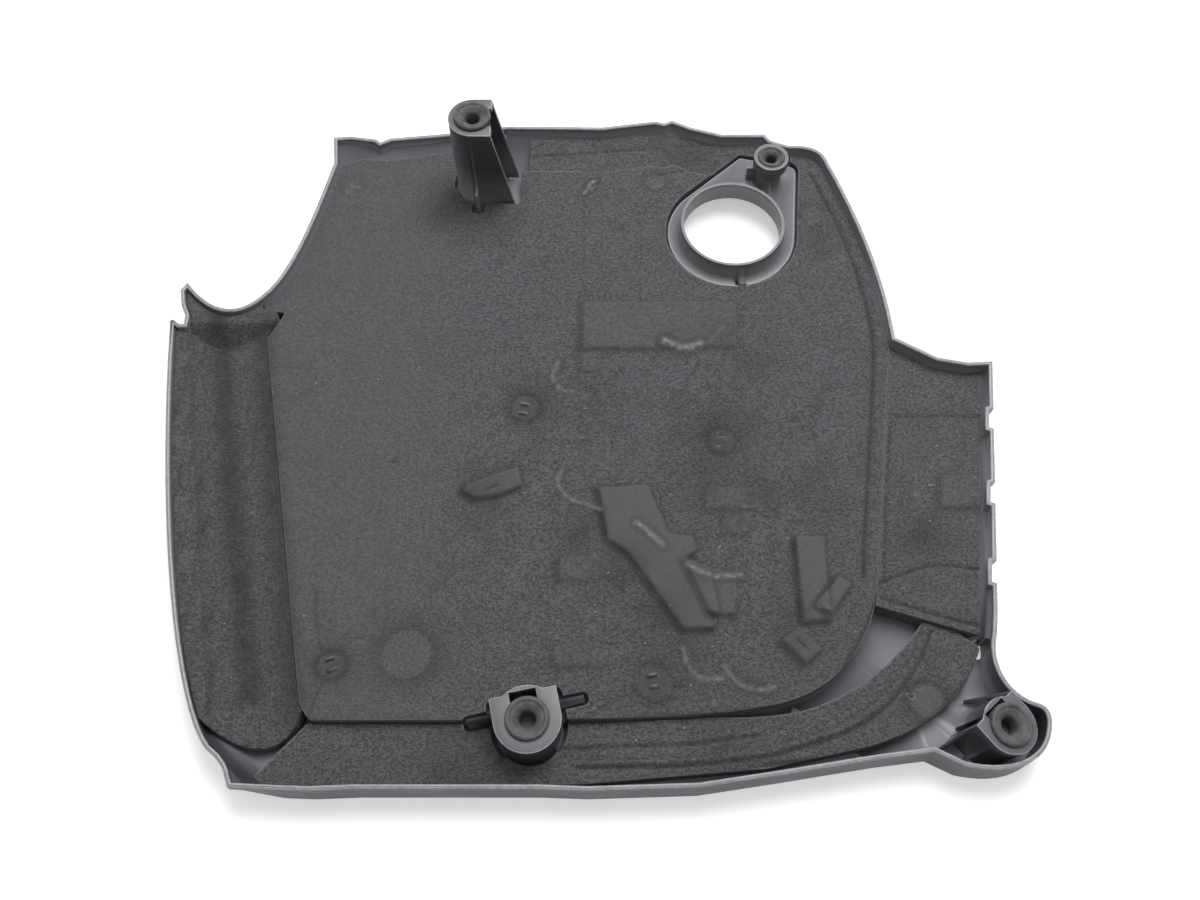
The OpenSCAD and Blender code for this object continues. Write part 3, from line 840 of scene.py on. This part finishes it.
def foam_material():
    """Dark felted foam with a mottled fibre grain, dust, pressed marks, scuffs, soil, painted
    shade and painted highlights on rounded edges.
    """
    name = "felted foam"
    if name in bpy.data.materials:
        return bpy.data.materials[name]
    sizes = bpy.context.scene.cover_foam
    material = bpy.data.materials.new(name)
    nodes = Nodes(material)
    coords = nodes.add("ShaderNodeTexCoord").outputs["Object"]
    lie = nodes.add("ShaderNodeMapping", Scale=(0.8, 1.15, 1.0))
    nodes.feed(lie.inputs["Vector"], coords)
    patches = nodes.noise(coords, scale=14, detail=4, roughness=0.6)
    blotches = nodes.noise(coords, scale=70, detail=4, roughness=0.6)
    fibres = nodes.noise(lie.outputs["Vector"], scale=560, detail=4, roughness=0.75)
    fine = nodes.noise(coords, scale=1500, detail=2, roughness=0.6)
    lint = nodes.noise(coords, scale=420, detail=1)
    dust = nodes.plus(nodes.ramp(patches, 0.50, 0.75, top=0.16),
                      nodes.times(nodes.attribute("dusty"),
                                  nodes.ramp(blotches, 0.3, 0.7, bottom=0.45)))
    # Soil and painted shade from the mats' marks
    soil_and_shade = nodes.times(nodes.attribute("soiled_and_shaded"), nodes.ramp(blotches, 0.3, 0.6, bottom=0.7))
    scuffs = nodes.times(nodes.attribute("scuffed"), nodes.ramp(fibres, 0.40, 0.62, bottom=0.15))
    shallow = nodes.ramp(patches, 0.3, 0.7, top=0.32)
    deep = nodes.ramp(blotches, 0.40, 0.62, top=0.30)
    gaps = nodes.ramp(fibres, 0.44, 0.56, top=0.82)
    tips = nodes.ramp(fine, 0.50, 0.70, top=0.48)
    flecks = nodes.ramp(lint, 0.775, 0.80, top=0.8)
    skin = nodes.times(nodes.attribute("pressed"), 0.72)
    # Painted highlight on the mats' rounded edges
    edges = nodes.times(nodes.attribute("edge"), 0.55)
    colour = nodes.layered(tint(sizes.colour), [
        (shallow, tint(sizes.colour, 0.62)),
        (dust, tint(sizes.dust)),
        (deep, tint(sizes.colour, 0.50)),
        (gaps, tint(sizes.colour, 0.28)),
        (tips, tint(sizes.colour, 2.3)),
        (skin, tint(sizes.colour, 0.96)),
        (edges, tint(sizes.colour, 2.2)),
        (soil_and_shade, tint(sizes.soiled_and_shaded)),
        (scuffs, tint(sizes.scuffed)),
        (flecks, tint(sizes.scuffed)),
    ])
    relief = nodes.plus(nodes.times(fibres, 0.7), nodes.times(fine, 0.5))
    nodes.shade(colour, relief, strength=0.8, depth=0.8 * MM, finish={
        "Roughness": 0.95,
        "Specular IOR Level": 0.15,
        "Sheen Weight": 0.12,
        "Sheen Roughness": 0.5,
    })
    return material


def plastic_material():
    """Fine-grained dark plastic, lighter on its rounded edges as rubbed wear and painted
    highlight, and lighter, as dust and painted light, on faces that look up and low down towards
    the back.
    """
    sizes = bpy.context.scene.cover_moulding
    material = bpy.data.materials.new("grained plastic")
    nodes = Nodes(material)
    coords = nodes.add("ShaderNodeTexCoord").outputs["Object"]
    patches = nodes.noise(coords, scale=22, detail=4, roughness=0.6)
    grain = nodes.noise(coords, scale=2600, detail=2)
    scratches = nodes.noise(coords, scale=260, detail=5, roughness=0.75)
    facing = nodes.parts(nodes.add("ShaderNodeNewGeometry").outputs["Normal"])
    place = nodes.parts(coords)
    # Faces that look up are painted lighter: partly dusty bloom, partly painted light from above
    up = nodes.ramp(facing["Z"], 0.35, 0.95, top=0.85)
    dust_light_low, dust_light_high = (z * MM for z in LOW_DUST_AND_LIGHT_HEIGHTS)
    dust_light_front, dust_light_back = (y * MM for y in BACK_DUST_AND_LIGHT_PLACES)
    floor_low, floor_high = (z * MM for z in FLOOR_DUST_AND_LIGHT_HEIGHTS)
    # Painted lighter low down and towards the back: dust and painted light on the slopes and
    # walls there
    low_back_dust_and_light = nodes.times(
        nodes.ramp(place["Z"], dust_light_low, dust_light_high, bottom=1.0, top=0.0),
        nodes.ramp(place["Y"], dust_light_front, dust_light_back, top=0.85))
    # Low faces that look up, and all faces that look up, get the bloom: dust and painted light
    floor_dust_and_light = nodes.times(up, nodes.ramp(place["Z"], floor_low, floor_high, bottom=0.8, top=0.0))
    bloom = nodes.times(up, nodes.ramp(patches, 0.3, 0.7, bottom=0.7))
    # Rounded edges painted lighter: rubbed wear and painted highlight
    rubbed = nodes.times(nodes.attribute("rubbed"), nodes.ramp(scratches, 0.35, 0.6, bottom=0.55))
    colour = nodes.layered(tint(sizes.colour), [
        (nodes.ramp(patches, 0.35, 0.7, top=0.5), tint(sizes.colour, 1.5)),
        (low_back_dust_and_light, tint(sizes.bloom, 1.6)),
        (bloom, tint(sizes.bloom)),
        (floor_dust_and_light, tint(sizes.bloom, 1.9)),
        (nodes.ramp(scratches, 0.62, 0.8, top=0.35), tint(sizes.rubbed)),
        (rubbed, tint(sizes.rubbed)),
    ])
    nodes.shade(colour, grain, strength=0.35, depth=sizes.grain, finish={
        "Roughness": nodes.ramp(patches, 0.3, 0.7, bottom=0.40, top=0.52),
        "Specular IOR Level": 0.55,
    })
    return material


def rubber_material():
    """Dull dark rubber with a pale bloom."""
    name = "dull rubber"
    if name in bpy.data.materials:
        return bpy.data.materials[name]
    sizes = bpy.context.scene.cover_rubber
    material = bpy.data.materials.new(name)
    nodes = Nodes(material)
    coords = nodes.add("ShaderNodeTexCoord").outputs["Object"]
    bloom = nodes.noise(coords, scale=160, detail=4, roughness=0.65)
    fine = nodes.noise(coords, scale=1800, detail=2)
    colour = nodes.layered(tint(sizes.colour), [
        (nodes.ramp(bloom, 0.35, 0.7, bottom=0.1, top=0.75), tint(sizes.bloom)),
    ])
    nodes.shade(colour, fine, strength=0.25, depth=0.05 * MM, finish={
        "Roughness": nodes.ramp(bloom, 0.3, 0.7, bottom=0.52, top=0.75),
        "Specular IOR Level": 0.35,
    })
    return material


def level_edge(low, high):
    """Whether an edge between these heights, in millimetres, lies on the rim or the land."""
    return any(abs(low - level) < LEVEL_WITHIN and abs(high - level) < LEVEL_WITHIN
               for level in (RIM_TOP, LAND_TOP, 0))


def standing_edge(low, high):
    """Whether an edge is on the tower, the boss, the collar, the holder or the lug."""
    return high > STANDS_OVER and low > STANDS_FROM


def round_edges(obj, width, wanted):
    """Rounds the outward edges that are wanted and marks the new faces, which the plastic paints
    lighter as rubbed wear and painted highlight.
    """
    cells = bmesh.from_edit_mesh(obj.data)
    for cell in (*cells.verts, *cells.edges, *cells.faces):
        cell.select = False
    for edge in cells.edges:
        heights = sorted(end.co.z / MM for end in edge.verts)
        if edge.is_convex and edge.calc_face_angle(0) > SHARP_FROM and wanted(*heights):
            edge.select_set(True)
    bmesh.update_edit_mesh(obj.data)
    bpy.ops.mesh.select_mode(type="EDGE")
    bpy.ops.mesh.bevel(offset=width, segments=EDGE_SEGMENTS, affect="EDGES", clamp_overlap=False)
    cells = bmesh.from_edit_mesh(obj.data)
    rubbed = cells.faces.layers.float["rubbed"]
    for face in cells.faces:
        if face.select:
            face[rubbed] = 1.0
    bmesh.update_edit_mesh(obj.data)


def lathe(name, rings, steps=64):
    """A closed round piece about the Z axis, drawn up ring by ring."""
    bpy.ops.object.select_all(action="DESELECT")
    bpy.ops.mesh.primitive_circle_add(vertices=steps, radius=rings[0][0] * MM,
                                      location=(0, 0, 0))
    piece = bpy.context.object
    piece.name = name
    bpy.ops.object.mode_set(mode="EDIT")
    bpy.ops.mesh.select_all(action="SELECT")
    bpy.ops.transform.translate(value=(0, 0, rings[0][1] * MM))
    for (radius, height), (wider, higher) in zip(rings, rings[1:]):
        bpy.ops.mesh.extrude_region_move(
            TRANSFORM_OT_translate={"value": (0, 0, (higher - height) * MM)})
        size = wider / radius
        bpy.ops.transform.resize(value=(size, size, 1), center_override=(0, 0, 0))
    bpy.ops.mesh.edge_face_add()
    bpy.ops.mesh.select_all(action="DESELECT")
    bpy.ops.mesh.select_non_manifold(extend=False, use_wire=False, use_boundary=True,
                                     use_multi_face=False, use_non_contiguous=False,
                                     use_verts=False)
    bpy.ops.mesh.edge_face_add()
    bpy.ops.mesh.select_all(action="SELECT")
    bpy.ops.mesh.normals_make_consistent(inside=False)
    bpy.ops.object.mode_set(mode="OBJECT")
    return piece


class COVER_OT_moulding(bpy.types.Operator):
    """Makes the moulding with rounded edges and a grained plastic finish"""
    bl_idname = "cover.moulding"
    bl_label = "Moulding"

    def execute(self, context):
        sizes = context.scene.cover_moulding
        shell = copy_of("shell", "moulding")
        bpy.ops.object.mode_set(mode="EDIT")
        cells = bmesh.from_edit_mesh(shell.data)
        cells.faces.layers.float.new("rubbed")
        round_edges(shell, sizes.rim_edge, level_edge)
        round_edges(shell, sizes.edge, standing_edge)
        bpy.ops.object.mode_set(mode="OBJECT")
        bpy.ops.object.shade_smooth_by_angle(angle=SMOOTH_PLASTIC)
        shell.data.materials.append(plastic_material())
        stand_in(shell, "shell")
        return {"FINISHED"}


class COVER_OT_large_mat(bpy.types.Operator):
    """Makes the large foam mat with its raised fields, dimples, creases and scuffs"""
    bl_idname = "cover.large_mat"
    bl_label = "Large mat"

    def execute(self, context):
        make_mat(*LARGE_MAT)
        return {"FINISHED"}


class COVER_OT_edge_mats(bpy.types.Operator):
    """Makes the four foam mats round the large one"""
    bl_idname = "cover.edge_mats"
    bl_label = "Edge mats"

    def execute(self, context):
        for mat in EDGE_MATS:
            make_mat(*mat)
        return {"FINISHED"}


class COVER_OT_mounts(bpy.types.Operator):
    """Makes the four rubber mounts"""
    bl_idname = "cover.mounts"
    bl_label = "Rubber mounts"

    def execute(self, context):
        kinds = [(mount, LARGE_RINGS) for mount in LARGE_MOUNTS] + [(SMALL_MOUNT, SMALL_RINGS)]
        for (node, name, seat, lean), rings in kinds:
            mount = lathe(name, rings)
            mount.rotation_euler = (0, math.radians(lean), 0)
            mount.location = Vector(seat) * MM
            pick(mount)
            bpy.ops.object.transform_apply(location=True, rotation=True, scale=True)
            bpy.ops.object.shade_smooth_by_angle(angle=SMOOTH_RUBBER)
            mount.data.materials.append(rubber_material())
            stand_in(mount, node)
        return {"FINISHED"}


class COVER_OT_stage(bpy.types.Operator):
    """Makes the floor, the light and the camera"""
    bl_idname = "cover.stage"
    bl_label = "Stage"

    def execute(self, context):
        sizes = context.scene.cover_stage
        bpy.ops.object.select_all(action="DESELECT")
        bpy.ops.mesh.primitive_plane_add(size=sizes.floor, location=(0, 0, FLOOR_Z * MM))
        floor = context.object
        floor.name = "floor"
        floor.data.materials.append(floor_material())
        bpy.ops.object.light_add(type="AREA", location=LAMP_AT)
        lamp = context.object
        lamp.data.shape = "DISK"
        lamp.data.size = LAMP_SIZE
        lamp.data.energy = sizes.lamp_power
        aim_at(lamp, Vector((0, 0, 0)))
        world = context.scene.world or bpy.data.worlds.new("surround")
        context.scene.world = world
        light_surround(world, sizes.surround)
        bpy.ops.object.camera_add(location=CAMERA_AT, rotation=(CAMERA_TILT, 0, 0))
        camera = context.object
        camera.data.lens = LENS_MM
        camera.data.sensor_width = SENSOR_MM
        context.scene.camera = camera
        context.scene.view_settings.view_transform = "Standard"
        return {"FINISHED"}


def aim_at(obj, target):
    """Turns a lamp so that it shines at a point."""
    obj.rotation_euler = (target - obj.location).to_track_quat("-Z", "Y").to_euler()


def light_surround(world, strength):
    """Soft light from above, weaker near the horizon and from the front."""
    nodes = Nodes(world)
    way = nodes.parts(nodes.add("ShaderNodeTexCoord").outputs["Generated"])
    above = nodes.ramp(way["Z"], 0.0, 0.9, AT_HORIZON * strength, OVERHEAD * strength)
    behind = nodes.ramp(way["Y"], -0.8, 0.8, FROM_FRONT, FROM_BEHIND)
    camera_ray = nodes.add("ShaderNodeLightPath").outputs["Is Camera Ray"]
    background = nodes.add("ShaderNodeBackground", Color=WHITE)
    nodes.feed(background.inputs["Strength"],
               nodes.calculate("MAXIMUM", nodes.times(above, behind), camera_ray))
    nodes.end("ShaderNodeOutputWorld", background.outputs[0])


def floor_material():
    """White floor that keeps the cover's shadow."""
    material = bpy.data.materials.new("white floor")
    nodes = Nodes(material)
    coords = nodes.add("ShaderNodeTexCoord").outputs["Object"]
    rays = nodes.add("ShaderNodeLightPath").outputs
    seen = nodes.calculate("MAXIMUM", rays["Is Camera Ray"], rays["Is Glossy Ray"])
    diffuse = nodes.add("ShaderNodeBsdfDiffuse")
    tone = nodes.ramp(nodes.noise(coords, scale=3, detail=2), 0.3, 0.7, *FLOOR_TONES)
    nodes.feed(diffuse.inputs["Color"], tone)
    glow = nodes.add("ShaderNodeEmission", Color=WHITE)
    nodes.feed(glow.inputs["Strength"], nodes.times(seen, FLOOR_GLOW))
    both = nodes.add("ShaderNodeAddShader")
    nodes.feed(both.inputs[0], diffuse.outputs[0])
    nodes.feed(both.inputs[1], glow.outputs[0])
    nodes.end("ShaderNodeOutputMaterial", both.outputs[0])
    return material


class COVER_PT_panel(bpy.types.Panel):
    """Lists the steps that dress the cover"""
    bl_label = "Engine cover"
    bl_idname = "COVER_PT_panel"
    bl_space_type = "VIEW_3D"
    bl_region_type = "UI"
    bl_category = "Cover"

    def draw(self, context):
        for step in STEPS:
            self.layout.operator(step.bl_idname)
        for name in GROUPS:
            group = getattr(context.scene, name)
            box = self.layout.box()
            for value in group.__annotations__:
                box.prop(group, value)


STEPS = (COVER_OT_moulding, COVER_OT_large_mat, COVER_OT_edge_mats, COVER_OT_mounts,
         COVER_OT_stage)
GROUPS = {"cover_moulding": MouldingSizes, "cover_foam": FoamSizes,
          "cover_rubber": RubberSizes, "cover_stage": StageSizes}


def register():
    for group in GROUPS.values():
        bpy.utils.register_class(group)
    for name, group in GROUPS.items():
        setattr(bpy.types.Scene, name, bpy.props.PointerProperty(type=group))
    for step in STEPS:
        bpy.utils.register_class(step)
    bpy.utils.register_class(COVER_PT_panel)


def unregister():
    bpy.utils.unregister_class(COVER_PT_panel)
    for step in reversed(STEPS):
        bpy.utils.unregister_class(step)
    for name in GROUPS:
        delattr(bpy.types.Scene, name)
    for group in reversed(GROUPS.values()):
        bpy.utils.unregister_class(group)


def main():
    register()
    bpy.ops.cover.moulding()
    bpy.ops.cover.large_mat()
    bpy.ops.cover.edge_mats()
    bpy.ops.cover.mounts()
    bpy.ops.cover.stage()


if __name__ == "__main__":
    main()
